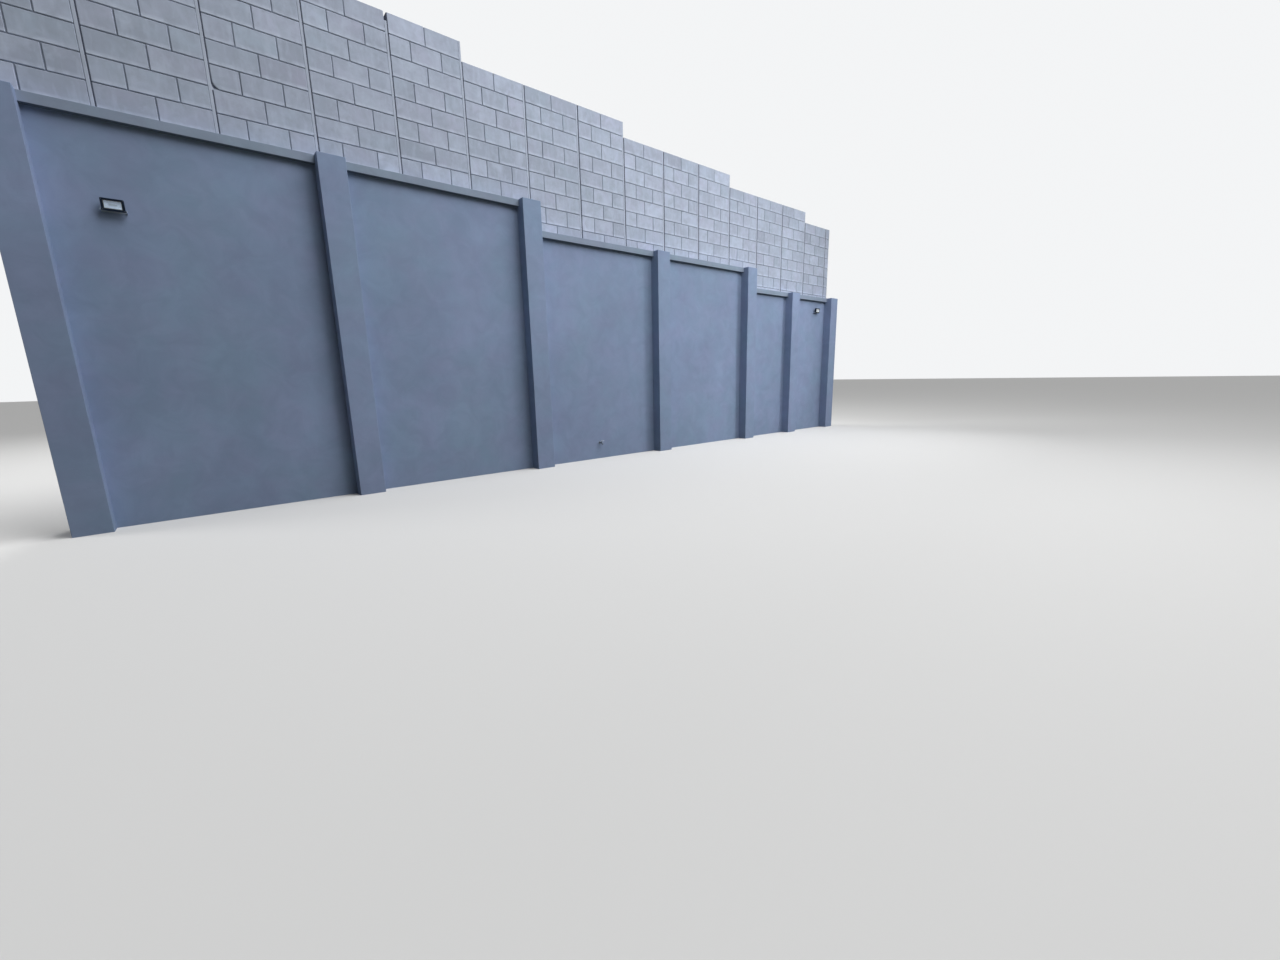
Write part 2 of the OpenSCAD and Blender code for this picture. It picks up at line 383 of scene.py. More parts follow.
def round_rect(width, height, corner, depth, arc=5):
    """Ring of a rectangle with round corners in XZ, going round so that +Y is behind it."""
    ring = []
    for sx, sz, first in ((1, 1, 0), (-1, 1, 90), (-1, -1, 180), (1, -1, 270)):
        for step in range(arc + 1):
            angle = math.radians(first + 90 * step / arc)
            ring.append((sx * (width / 2 - corner) + corner * math.cos(angle), depth,
                         sz * (height / 2 - corner) + corner * math.sin(angle)))
    return ring


def lathe(profile, sides=32):
    """Turns (radius, height) pairs in millimetres about +Z; a radius of nought closes an end."""
    angles = np.arange(sides) * math.tau / sides
    rings = []
    for radius, height in profile:
        rings.append(np.stack([radius * MM * np.cos(angles), radius * MM * np.sin(angles),
                               np.full(sides, height * MM)], -1))
    return loft(rings)


def swept(path, radii, sides=32):
    """A round bar along a path, with a radius at each point of it."""
    path = [Vector(p) for p in path]
    rings, up = [], Vector((1, 0, 0))
    for i, at in enumerate(path):
        way = (path[min(i + 1, len(path) - 1)] - path[max(i - 1, 0)]).normalized()
        side = up.cross(way).normalized()
        over = way.cross(side)
        rings.append([tuple(at + radii[i] * (math.cos(a) * side + math.sin(a) * over))
                      for a in np.arange(sides) * math.tau / sides])
    return loft(rings)


def placed(shape, matrix):
    """Points and faces moved by a matrix."""
    points, faces = shape
    moved = np.asarray(points) @ np.array(matrix.to_3x3()).T + np.array(matrix.translation)
    return moved, faces


def box_of(node):
    """Lowest and highest corner of a CAD node."""
    low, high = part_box(node)
    return np.array(low, float), np.array(high, float)


# Finishes
class Recipe:
    """Builds one node material; a value that is a socket is linked, any other is set."""

    def __init__(self, name):
        self.material = bpy.data.materials.new(name)
        self.material.use_nodes = True
        self.tree = self.material.node_tree
        self.tree.nodes.clear()
        self.out = self.tree.nodes.new("ShaderNodeOutputMaterial")
        self.coordinates = self.tree.nodes.new("ShaderNodeTexCoord").outputs["Object"]

    def node(self, kind, output=0, settings=None, **inputs):
        """Adds a node; an input goes by its name, or by i and its number."""
        made = self.tree.nodes.new("ShaderNode" + kind)
        for name, value in (settings or {}).items():
            setattr(made, name, value)
        for name, value in inputs.items():
            numbered = name[0] == "i" and name[1:].isdigit()
            socket = made.inputs[int(name[1:]) if numbered else name]
            if isinstance(value, bpy.types.NodeSocket):
                self.tree.links.new(value, socket)
            else:
                socket.default_value = value
        return made.outputs[output]

    def stretch(self, source, scale):
        """Coordinates scaled along each axis."""
        return self.node("Mapping", Vector=source, Scale=scale)

    def noise(self, scale, detail=3.0, rough=0.5, at=None, distortion=0.0):
        """Fractal noise, in the object's coordinates if no others are given."""
        return self.node("TexNoise", Vector=at or self.coordinates, Scale=scale, Detail=detail,
                         Roughness=rough, Distortion=distortion)

    def ramp(self, value, low, high, to_low, to_high):
        """Maps one range to another and holds the ends."""
        return self.node("MapRange", i0=value, i1=low, i2=high, i3=to_low, i4=to_high)

    def product(self, a, b):
        """Two values multiplied."""
        return self.node("Math", settings={"operation": "MULTIPLY"}, i0=a, i1=b)

    def blend(self, share, a, b, mode="MIX"):
        """Colour a with a share of colour b."""
        return self.node("Mix", output=2, settings={"data_type": "RGBA", "blend_type": mode},
                         i0=share, i6=a, i7=b)

    def bump(self, height, distance, strength=1.0, under=None):
        """Relief from a height, on top of another relief if one is given."""
        inputs = {"Height": height, "Distance": distance, "Strength": strength}
        if under is not None:
            inputs["Normal"] = under
        return self.node("Bump", **inputs)

    def finish(self, **inputs):
        """Ends the recipe with its shader and gives the material."""
        shader = self.node("BsdfPrincipled", **inputs)
        self.tree.links.new(shader, self.out.inputs["Surface"])
        return self.material


def rgba(colour, factor=1.0):
    """The colour made lighter or darker, with its alpha."""
    return tuple(min(1.0, c * factor) for c in colour) + (1.0,)


def tinted(colour, red, green, blue):
    """The colour with each of its parts changed by a factor."""
    return (colour[0] * red, colour[1] * green, colour[2] * blue)


def render_coat(name, colour, painted_soffit_shade=1.0):
    """Trowelled cement render under masonry paint: cloudy, faintly streaked, nearly matt, with
    painted shade on the faces that look down.
    """
    mix = Recipe(name)
    clouds = mix.noise(0.55, 3.0, 0.55, distortion=0.4)
    tints = mix.noise(0.9, 2.0, 0.5, at=mix.stretch(mix.coordinates, (1.0, 1.0, 0.8)))
    streaks = mix.noise(1.0, 4.0, 0.6, at=mix.stretch(mix.coordinates, (5.0, 5.0, 0.55)))
    trowel = mix.noise(2.6, 5.0, 0.62, distortion=1.2)
    blots = mix.noise(3.4, 4.0, 0.62, distortion=0.8)
    hues = mix.noise(2.3, 3.0, 0.55, at=mix.stretch(mix.coordinates, (1.0, 1.0, 1.3)))
    grain = mix.noise(260.0, 3.0, 0.6)
    specks = mix.noise(70.0, 2.0, 0.5)
    tone = mix.blend(mix.ramp(clouds, 0.35, 0.65, 0.0, 1.0),
                     rgba(colour, 0.90), rgba(colour, 1.07))
    tone = mix.blend(mix.ramp(tints, 0.42, 0.66, 0.0, 0.55), tone,
                     rgba(tinted(colour, 0.93, 1.02, 0.95)))
    tone = mix.blend(mix.ramp(streaks, 0.4, 0.7, 0.0, 0.30), tone,
                     rgba(tinted(colour, 1.03, 0.97, 1.0), 0.93))
    shades = mix.blend(mix.ramp(blots, 0.36, 0.64, 0.0, 1.0),
                       (0.955, 0.955, 0.955, 1), (1.045, 1.045, 1.045, 1))
    tone = mix.blend(1.0, tone, shades, "MULTIPLY")
    casts = mix.blend(mix.ramp(hues, 0.38, 0.62, 0.0, 1.0),
                      (0.980, 1.010, 1.0, 1), (1.020, 0.990, 1.0, 1))
    tone = mix.blend(1.0, tone, casts, "MULTIPLY")
    tone = mix.blend(mix.ramp(specks, 0.6, 0.75, 0.0, 0.25), tone, rgba(colour, 0.82))
    # Painted shade: faces that look down are blended to a darker tone, standing in for the shade
    # under the copings
    facing = mix.node("SeparateXYZ", output="Z", i0=mix.node("NewGeometry", output="Normal"))
    tone = mix.blend(mix.ramp(facing, -0.9, -0.5, 1.0, 0.0), tone, rgba(colour, painted_soffit_shade))
    surface = mix.bump(grain, 0.0006, 0.5)
    surface = mix.bump(trowel, 0.004, 0.35, under=surface)
    return mix.finish(**{"Base Color": tone, "Normal": surface, "IOR": 1.45,
                         "Specular IOR Level": 0.35,
                         "Roughness": mix.ramp(trowel, 0.3, 0.7, 0.62, 0.80)})


def block_face(name, colour, spread):
    """Smooth concrete block: its own tone, clouds, fine pores, a lighter band along its lower edge
    and a darker one under its top edge.
    """
    mix = Recipe(name)
    own = mix.node("Attribute", output="Vector", settings={"attribute_name": "tone"})
    parts = mix.tree.nodes.new("ShaderNodeSeparateXYZ")
    mix.tree.links.new(own, parts.inputs[0])
    shifted = mix.node("VectorMath", settings={"operation": "ADD"}, i0=mix.coordinates,
                       i1=mix.node("VectorMath", settings={"operation": "MULTIPLY"},
                                   i0=own, i1=(37.0, 37.0, 0.0)))
    patch = mix.noise(6.0, 4.0, 0.6, at=shifted, distortion=0.5)
    bloom = mix.noise(3.0, 5.0, 0.65, at=shifted)
    hue = mix.noise(4.0, 2.0, 0.5, at=shifted)
    runs = mix.noise(7.0, 3.0, 0.55, at=mix.stretch(shifted, (2.6, 2.6, 0.7)))
    pores = mix.node("TexVoronoi", Vector=mix.coordinates, Scale=150.0)
    grit = mix.noise(330.0, 3.0, 0.7)
    tone = mix.blend(parts.outputs[0], rgba(colour, 1 - spread), rgba(colour, 1 + spread))
    tone = mix.blend(mix.ramp(parts.outputs[1], 0.55, 1.0, 0.0, 0.5), tone,
                     rgba(tinted(colour, 1.03, 0.965, 1.0)))
    tone = mix.blend(mix.ramp(parts.outputs[1], 0.45, 0.0, 0.0, 0.5), tone,
                     rgba(tinted(colour, 0.955, 1.01, 1.005)))
    cool = mix.blend(1.0, tone, (0.985, 1.0, 1.005, 1), "MULTIPLY")
    warm = mix.blend(1.0, tone, (1.0, 0.975, 1.0, 1), "MULTIPLY")
    tone = mix.blend(mix.ramp(hue, 0.35, 0.65, 0.0, 1.0), cool, warm)
    tone = mix.blend(mix.ramp(patch, 0.36, 0.66, 0.0, 0.65), tone, rgba(colour, 0.76))
    tone = mix.blend(mix.ramp(bloom, 0.50, 0.72, 0.0, 0.65), tone, rgba(colour, 1.24))
    tone = mix.blend(mix.ramp(runs, 0.50, 0.75, 0.0, 0.40), tone, rgba(colour, 1.22))
    # Lighter band just above the block's foot, darker band just under its top
    foot = mix.product(mix.ramp(parts.outputs[2], 0.012, 0.048, 1.0, 0.0),
                       mix.ramp(patch, 0.35, 0.60, 0.80, 0.25))
    tone = mix.blend(foot, tone, rgba(tinted(colour, 1.36, 1.34, 1.32)))
    head = mix.ramp(parts.outputs[2], 0.20, 0.232, 0.0, 0.30)
    tone = mix.blend(head, tone, rgba(colour, 0.86))
    # Painted shade: the broken corner is painted near black, standing in for the shade in its
    # hollow
    break_shade = mix.ramp(parts.outputs[2], BREAK_SHADE_MARK * 0.8, BREAK_SHADE_MARK * 0.1, 1.0, 0.0)
    tone = mix.blend(break_shade, tone, rgba(tinted(colour, 0.105, 0.11, 0.145)))
    tone = mix.blend(mix.ramp(grit, 0.55, 0.8, 0.0, 0.35), tone, rgba(colour, 0.72))
    pits = mix.ramp(pores, 0.0, 0.22, 0.0, 1.0)
    surface = mix.bump(grit, 0.0012, 0.55)
    surface = mix.bump(pits, 0.0015, 0.5, under=surface)
    return mix.finish(**{"Base Color": tone, "Normal": surface, "Specular IOR Level": 0.25,
                         "Roughness": mix.ramp(grit, 0.3, 0.7, 0.82, 0.95)})


def mortar(name, colour, dark):
    """Cement mortar, sandy and uneven."""
    mix = Recipe(name)
    sand = mix.noise(240.0, 4.0, 0.7)
    cloud = mix.noise(3.4, 4.0, 0.6)
    tone = mix.blend(mix.ramp(cloud, 0.35, 0.65, 0.0, 1.0), rgba(colour, dark), rgba(colour, 1.1))
    tone = mix.blend(mix.ramp(sand, 0.5, 0.75, 0.0, 0.4), tone, rgba(colour, 0.7))
    return mix.finish(**{"Base Color": tone, "Normal": mix.bump(sand, 0.0015, 0.7),
                         "Specular IOR Level": 0.2,
                         "Roughness": mix.ramp(sand, 0.3, 0.7, 0.86, 0.97)})


def powder_coat(name, colour):
    """Black powder coat on a casting, with a fine orange peel and a little dust."""
    mix = Recipe(name)
    peel = mix.noise(900.0, 2.0, 0.5)
    dust = mix.noise(38.0, 5.0, 0.7)
    tone = mix.blend(mix.ramp(dust, 0.5, 0.8, 0.0, 0.5), rgba(colour), rgba(colour, 3.0))
    return mix.finish(**{"Base Color": tone, "Normal": mix.bump(peel, 0.0002, 0.4),
                         # Painted reflection: the blue tint on the gloss stands in for the sky's
                         # colour in its reflections
                         "Specular IOR Level": 0.12, "Specular Tint": (0.38, 0.64, 1.0, 1.0),
                         "Roughness": mix.ramp(dust, 0.35, 0.75, 0.42, 0.66)})


def lamp_glass(name, clearness):
    """Clear toughened glass with a film of dust, and painted shade that dims it towards its upper
    edge.
    """
    mix = Recipe(name)
    dust = mix.noise(46.0, 4.0, 0.6)
    whole = mix.tree.nodes.new("ShaderNodeTexCoord").outputs["Generated"]
    height = mix.node("SeparateXYZ", output="Z", i0=whole)
    tone = mix.blend(mix.ramp(dust, 0.3, 0.8, 0.0, 1.0), (0.90, 0.95, 1.0, 1),
                     (0.83, 0.89, 0.95, 1))
    # Painted shade: the glass is darkened towards its upper edge, standing in for the shade of the
    # frame
    tone = mix.blend(mix.ramp(height, 0.55, 0.85, 0.0, 1.0), tone, (0.67, 0.71, 0.77, 1))
    return mix.finish(**{"Base Color": tone, "Transmission Weight": clearness, "IOR": 1.46,
                         "Roughness": mix.ramp(dust, 0.3, 0.8, 0.02, 0.16)})


def reflector(name, colour, rough):
    """Satin white or aluminium inside of the lamp."""
    mix = Recipe(name)
    haze = mix.noise(120.0, 3.0, 0.5)
    tone = mix.blend(mix.ramp(haze, 0.35, 0.7, 0.0, 1.0), rgba(colour), rgba(colour, 0.9))
    return mix.finish(**{"Base Color": tone, "Metallic": 0.0,
                         "Roughness": mix.ramp(haze, 0.3, 0.7, rough, rough + 0.12),
                         "Normal": mix.bump(haze, 0.0003, 0.3)})


def plated(name, colour):
    """Nickel plate that has dulled in the weather."""
    mix = Recipe(name)
    haze = mix.noise(90.0, 5.0, 0.7)
    scuffs = mix.noise(420.0, 2.0, 0.6, at=mix.stretch(mix.coordinates, (1.0, 1.0, 6.0)))
    tone = mix.blend(mix.ramp(haze, 0.4, 0.75, 0.0, 0.7), rgba(colour), rgba(colour, 0.62))
    return mix.finish(**{"Base Color": tone, "Metallic": 1.0,
                         "Roughness": mix.ramp(haze, 0.3, 0.7, 0.16, 0.42),
                         "Normal": mix.bump(scuffs, 0.0002, 0.25)})


def galvanised(name, colour):
    """Zinc-coated steel strap, spangled and a little dull."""
    mix = Recipe(name)
    spangle = mix.node("TexVoronoi", output="Color", Vector=mix.coordinates, Scale=130.0)
    haze = mix.noise(70.0, 4.0, 0.6)
    tone = mix.blend(mix.ramp(haze, 0.35, 0.7, 0.0, 1.0), rgba(colour), rgba(colour, 0.78))
    tone = mix.blend(0.10, tone, spangle, "OVERLAY")
    return mix.finish(**{"Base Color": tone, "Metallic": 0.6, "Specular IOR Level": 0.3,
                         "Roughness": mix.ramp(haze, 0.3, 0.7, 0.30, 0.48),
                         "Normal": mix.bump(haze, 0.0002, 0.3)})


def rubber(name):
    """Grey seal round the glass."""
    mix = Recipe(name)
    bloom = mix.noise(160.0, 3.0, 0.6)
    tone = mix.blend(bloom, (0.02, 0.02, 0.022, 1), (0.06, 0.06, 0.062, 1))
    return mix.finish(**{"Base Color": tone, "Roughness": mix.ramp(bloom, 0.3, 0.7, 0.7, 0.9)})


def seen_rays(tree):
    """One for rays to the eye, in gloss and through glass, and nought for light on the wall."""
    rays = tree.nodes.new("ShaderNodeLightPath")
    seen = rays.outputs["Is Camera Ray"]
    for kind in ("Is Glossy Ray", "Is Transmission Ray"):
        either = tree.nodes.new("ShaderNodeMath")
        either.operation = "MAXIMUM"
        tree.links.new(seen, either.inputs[0])
        tree.links.new(rays.outputs[kind], either.inputs[1])
        seen = either.outputs[0]
    return seen


def stage_finish(name, colour, bounce):
    """Floor that is pale to the eye and throws less light back at the wall."""
    mix = Recipe(name)
    tone = mix.blend(seen_rays(mix.tree), rgba(bounce), rgba(colour))
    return mix.finish(**{"Base Color": tone, "Roughness": 0.9, "Specular IOR Level": 0.1})


# Render coat
BROAD_WAVES, CLOSE_WAVES = 3.2, 15.0
WAVE_SHARES = np.array([0.5, 0.8, 0.35])


def coated(name, low, high, settings, finish, slot_name, soft, seed, replaced):
    """A rendered body: a soft box whose faces wave a little, held still on its hidden sides."""
    points, faces = soft_box(low, high, settings.arris, settings.grid, soft)
    broad = np.stack([waves(points, BROAD_WAVES, seed + a) for a in range(3)], -1)
    close = np.stack([waves(points, CLOSE_WAVES, seed + 10 + a) for a in range(3)], -1)
    shift = settings.wave * (0.75 * broad + 0.25 * close) * WAVE_SHARES
    for axis in range(3):
        for side, place in enumerate((low[axis], high[axis])):
            if not soft[axis][side]:
                shift[on_plane(points, axis, place), axis] = 0
    return Builder().add(points + shift, faces).piece(name, [finish], slot_name, replaced)


class WALL_OT_panels(Operator):
    """Make the rendered panels"""

    bl_idname = "garden_wall.panels"
    bl_label = "Panels"

    def execute(self, context):
        settings = context.scene.garden_wall_coat
        finish = render_coat("panel_coat", settings.coat)
        for number, node in enumerate(PANELS, 1):
            low, high = box_of(node)
            low[ROW_AXIS] -= settings.tuck
            high[ROW_AXIS] += settings.tuck
            made = coated(f"panel_render_{number}", low, high, settings, finish, "wall_render",
                          ((0, 0), (0, 0), (0, 0)), 100 * number, [node])
            press_face(made, low[DEPTH_AXIS], settings.wave, number)
        return {"FINISHED"}


def press_face(made, face, depth, number):
    """Lets the front face of a panel wave in depth, which coated() holds still."""
    mesh = made.data
    points = np.empty(len(mesh.vertices) * 3)
    mesh.vertices.foreach_get("co", points)
    points = points.reshape(-1, 3)
    front = on_plane(points, DEPTH_AXIS, face)
    lift = 0.7 * waves(points, 2.6, 900 + number) + 0.3 * waves(points, 9.0, 950 + number)
    points[front, DEPTH_AXIS] += depth * lift[front]
    mesh.vertices.foreach_set("co", points.ravel())
    mesh.update()


class WALL_OT_piers(Operator):
    """Make the rendered piers"""

    bl_idname = "garden_wall.piers"
    bl_label = "Piers"

    def execute(self, context):
        settings = context.scene.garden_wall_coat
        finish = render_coat("pier_coat", settings.coat)
        for number, node in enumerate(PIERS):
            low, high = box_of(node)
            coated(f"pier_render_{number}", low, high, settings, finish, "wall_render",
                   ((1, 1), (1, 0), (0, 1)), 1000 + 40 * number, [node])
        return {"FINISHED"}


class WALL_OT_copings(Operator):
    """Make the copings"""

    bl_idname = "garden_wall.copings"
    bl_label = "Copings"

    def execute(self, context):
        settings = context.scene.garden_wall_coat
        # The copings get painted shade on their undersides
        finish = render_coat("coping_coat", settings.coping_coat, settings.painted_soffit_shade)
        for number, node in enumerate(COPINGS, 1):
            low, high = box_of(node)
            low[ROW_AXIS] -= settings.tuck
            high[ROW_AXIS] += settings.tuck
            coated(f"coping_render_{number}", low, high, settings, finish, "coping_render",
                   ((0, 0), (1, 0), (1, 1)), 2000 + 40 * number, [node])
        return {"FINISHED"}


# Blocks
# The last slot is the dark groove fill, which is painted shade
FACE, MORTAR, STRIP, GROOVE_SHADE = 0, 1, 2, 3
# Bays at the high end and at the low end whose courses have a lift of their own
HIGH_BAYS, LOW_BAYS = 2, 4
# Bays from the high end with narrow grooves
NARROW_GROOVES = 7
BROKEN_STRIP_BAY = 4
BROKEN_CORNER = {"bay": 3, "course": 19, "size": (0.075, 0.102), "depth": 0.0065}
# Mark in a block's tone, which holds the height above its foot, for the broken corner: painted
# near black as painted shade in its hollow
BREAK_SHADE_MARK = -0.1
CORE_CELL = 0.25
SHORTEST_BLOCK = 0.03
# How far a bay's courses and a block's faces stray from their places, and the wear of its edges
COURSE_STRAY, FACE_STRAY = 0.004, 0.0012
WEAR = np.array([0.0007, 0.0006, 0.0007])
# Depth of the crumbs at the broken end of a strip
CRUMBS = 0.014


def broken(points, corner, size, depth, face, seed):
    """Pushes the points inside a round broken corner back, and says how far each went."""
    across = 1 - (points[:, ROW_AXIS] - corner[0]) / size[0]
    up = 1 - (points[:, UP_AXIS] - corner[1]) / size[1]
    lost = (across > 0) & (up > 0)
    reach = np.hypot(np.maximum(across, 0), np.maximum(up, 0)) - 1
    loss = np.clip(9 * (reach + 0.03 * waves(points, 70.0, seed)), 0, 1) * lost
    near = np.clip(1 - (points[:, DEPTH_AXIS] - face) / (4 * depth), 0, 1)
    points = points.copy()
    points[:, DEPTH_AXIS] += loss * near * depth
    return points, loss * near


class WALL_OT_blocks(Operator):
    """Lay the large blocks, bay by bay"""

    bl_idname = "garden_wall.blocks"
    bl_label = "Blocks"

    def execute(self, context):
        s = context.scene.garden_wall_blocks
        finishes = [block_face("block_face", s.face, s.spread),
                    mortar("joint_mortar", s.mortar, 0.75),
                    mortar("strip_mortar", tinted(s.face, 1.06, 1.05, 1.04), 0.92),
                    mortar("groove_shade_fill", s.groove_shade, 0.85)]
        boxes = [box_of(node) for node in BLOCK_BAYS]
        module = boxes[1][1][ROW_AXIS] - boxes[1][0][ROW_AXIS]
        draw = np.random.default_rng(s.seed)
        for number, (node, (low, high)) in enumerate(zip(BLOCK_BAYS, boxes), 1):
            build = Builder()
            left_joint = high[ROW_AXIS] - module if number == 1 else low[ROW_AXIS]
            joints = [left_joint, left_joint + module]
            if number == len(BLOCK_BAYS):
                joints.append(left_joint + 2 * module)
            lift = self.lift(s, draw, number)
            for first, second in zip(joints, joints[1:]):
                self.lay(build, s, draw, low, high, first, second, number, lift)
            build.piece(f"blocks_{number:02d}", finishes, "block_face", [node], BLOCK_SHARP)
        return {"FINISHED"}

    def lift(self, s, draw, number):
        """How far the bed joints of a bay lie above the even courses."""
        uneven = draw.uniform(-COURSE_STRAY, COURSE_STRAY)
        if number <= HIGH_BAYS:
            return s.lift_high + uneven
        if number > len(BLOCK_BAYS) - LOW_BAYS:
            return s.lift_low + uneven
        return s.lift + uneven

    def lay(self, build, s, draw, low, high, first, second, number, lift):
        """One bay from joint to joint, cut off where the row ends."""
        front, back, top = low[DEPTH_AXIS], high[DEPTH_AXIS], high[UP_AXIS]
        whole = second < high[ROW_AXIS] + SAME_PLACE
        line = s.strip_line if number == 1 else s.strip_line / 2
        groove = s.groove if number <= NARROW_GROOVES else s.groove_low
        face_start, face_end = first + groove, second - s.strip - line
        start = low[ROW_AXIS] if number == 1 else face_start
        end = face_end if whole else high[ROW_AXIS]
        missing = s.broken_strip if number == BROKEN_STRIP_BAY else 0.0
        self.core(build, s, low, high, first, second, end, missing)
        if first > low[ROW_AXIS] - SAME_PLACE:
            # Painted shade: the dark fill in the groove beside the strip
            build.add(*soft_box((first + SKIN, front + s.groove_shade_depth, 0.0),
                                (face_start + s.edge, back - s.groove_shade_depth, top - s.recess),
                                0.0, CORE_CELL), slot=GROOVE_SHADE)
        if whole:
            self.strip(build, s, second, front, back, top - missing, bool(missing), number)
        centre = (face_start + face_end) / 2
        courses = round((top - s.levelling) / s.course)
        for course in range(-1, courses):
            floor = s.levelling + course * s.course + lift
            base = floor + s.joint / 2 if course >= 0 else 0.0
            ceiling = top if course == courses - 1 else floor + s.course - s.joint / 2
            halves = (courses - 1 - course) % 2 == 0
            cuts = [centre] if halves else [centre - s.middle / 2, centre + s.middle / 2]
            cuts = [c for c in cuts if start + SHORTEST_BLOCK < c < end - SHORTEST_BLOCK]
            lefts = [start] + [c + s.joint / 2 for c in cuts]
            rights = [c - s.joint / 2 for c in cuts] + [end]
            for place, (left, right) in enumerate(zip(lefts, rights)):
                chipped = place == 0 and (number, course) == (BROKEN_CORNER["bay"],
                                                              BROKEN_CORNER["course"])
                self.block(build, s, draw, (left, front, base), (right, back, ceiling), chipped)

    def core(self, build, s, low, high, first, second, end, missing):
        """Mortar behind a bay's joints: it ends inside the strip, or short of the row's end."""
        left = max(first, low[ROW_AXIS] + s.recess)
        right = min(second - s.strip / 2, high[ROW_AXIS] - s.recess)
        front, back = low[DEPTH_AXIS] + s.recess, high[DEPTH_AXIS] - s.recess
        top = high[UP_AXIS] - s.recess / 2
        split = top - missing - CRUMBS if missing else top
        build.add(*soft_box((left, front, 0.0), (right, back, split), 0.0, CORE_CELL),
                  slot=MORTAR)
        if missing:
            build.add(*soft_box((left, front, split), (end - s.recess, back, top), 0.0, CORE_CELL),
                      slot=MORTAR)

    def strip(self, build, s, joint, front, back, top, is_broken, number):
        """The flat strip of mortar at the end of a bay."""
        cell = 0.03 if is_broken else 0.12
        points, faces = soft_box((joint - s.strip, front + SKIN, 0.0),
                                 (joint, back - SKIN, top), 0.003, cell,
                                 ((1, 1), (1, 1), (0, 1)))
        points[:, DEPTH_AXIS] += 0.0008 * waves(points, 9.0, 5000 + number)
        if is_broken:
            upper = np.clip((points[:, UP_AXIS] - top + 0.02) / 0.02, 0, 1)
            points[:, UP_AXIS] += 0.009 * upper * waves(points, 90.0, 5100)
        build.add(points, faces, slot=STRIP)

    def block(self, build, s, draw, low, high, chipped):
        """One block, a little out of true, with a tone of its own."""
        proud = draw.uniform(-FACE_STRAY, FACE_STRAY, 2)
        cell = 0.006 if chipped else 0.09
        points, faces = soft_box(low, high, s.edge, cell, arc=(45, 0))
        own = np.empty((len(points), 3))
        own[:, 2] = points[:, UP_AXIS] - low[UP_AXIS]
        seed = int(draw.integers(1, 1 << 30))
        middle = (low[DEPTH_AXIS] + high[DEPTH_AXIS]) / 2
        points[:, DEPTH_AXIS] += np.where(points[:, DEPTH_AXIS] < middle, proud[0], proud[1])
        shape = np.stack([waves(points, 55.0, seed + a, 5) for a in range(3)], -1)
        points = points + shape * WEAR
        points[:, UP_AXIS] = np.maximum(points[:, UP_AXIS], 0)
        if chipped:
            corner = (low[ROW_AXIS], low[UP_AXIS])
            points, loss = broken(points, corner, BROKEN_CORNER["size"], BROKEN_CORNER["depth"],
                                  low[DEPTH_AXIS], seed)
            # Painted shade: the broken part is marked to be painted dark
            own[loss > 0.3, 2] = BREAK_SHADE_MARK
            self.smear(build, corner, low[DEPTH_AXIS])
        own[:, 0], own[:, 1] = np.clip(draw.normal(0.5, 0.22), 0, 1), draw.uniform(0, 1)
        build.add(points, faces, slot=FACE, tone=own)

    def smear(self, build, corner, front):
        """Mortar pressed into the broken corner, short of the block round it."""
        outline = [(-0.013, -0.024), (0.004, -0.024), (0.007, -0.011), (0.003, 0.002),
                   (-0.003, 0.014), (-0.008, 0.030), (-0.013, 0.050)]
        rings = []
        for inset, depth in ((0.003, 0.0015), (0.001, 0.0025), (0.0, 0.005), (0.0, 0.03)):
            rings.append([(corner[0] + x * (1 - 12 * inset), front + depth,
                           corner[1] + z * (1 - 12 * inset)) for x, z in outline])
        build.add(*loft(rings[::-1]), slot=STRIP)


# Floodlights; profiles are radius and height in millimetres
FINS = 9
LAMP_WASHER = [(0, -9), (7, -9), (7, 0.6), (6.2, 1.2), (6.2, 4.8), (7, 5.4), (7, 6), (0, 6)]
LAMP_SCREW = [(0, 0), (2.6, 0), (3.0, 0.5), (3.0, 1.4), (2.5, 2.0), (1.5, 2.0), (1.3, 0.9),
              (0, 0.9)]


def lamp_place(which):
    """Pivot of a floodlight: the middle of the round ends of its bracket."""
    low, high = box_of(f"floodlight_bracket_{which}")
    middle = (low + high) / 2
    half_strap = (high[UP_AXIS] - low[UP_AXIS]) / 2
    return Vector((middle[ROW_AXIS], low[DEPTH_AXIS] + half_strap, middle[UP_AXIS]))


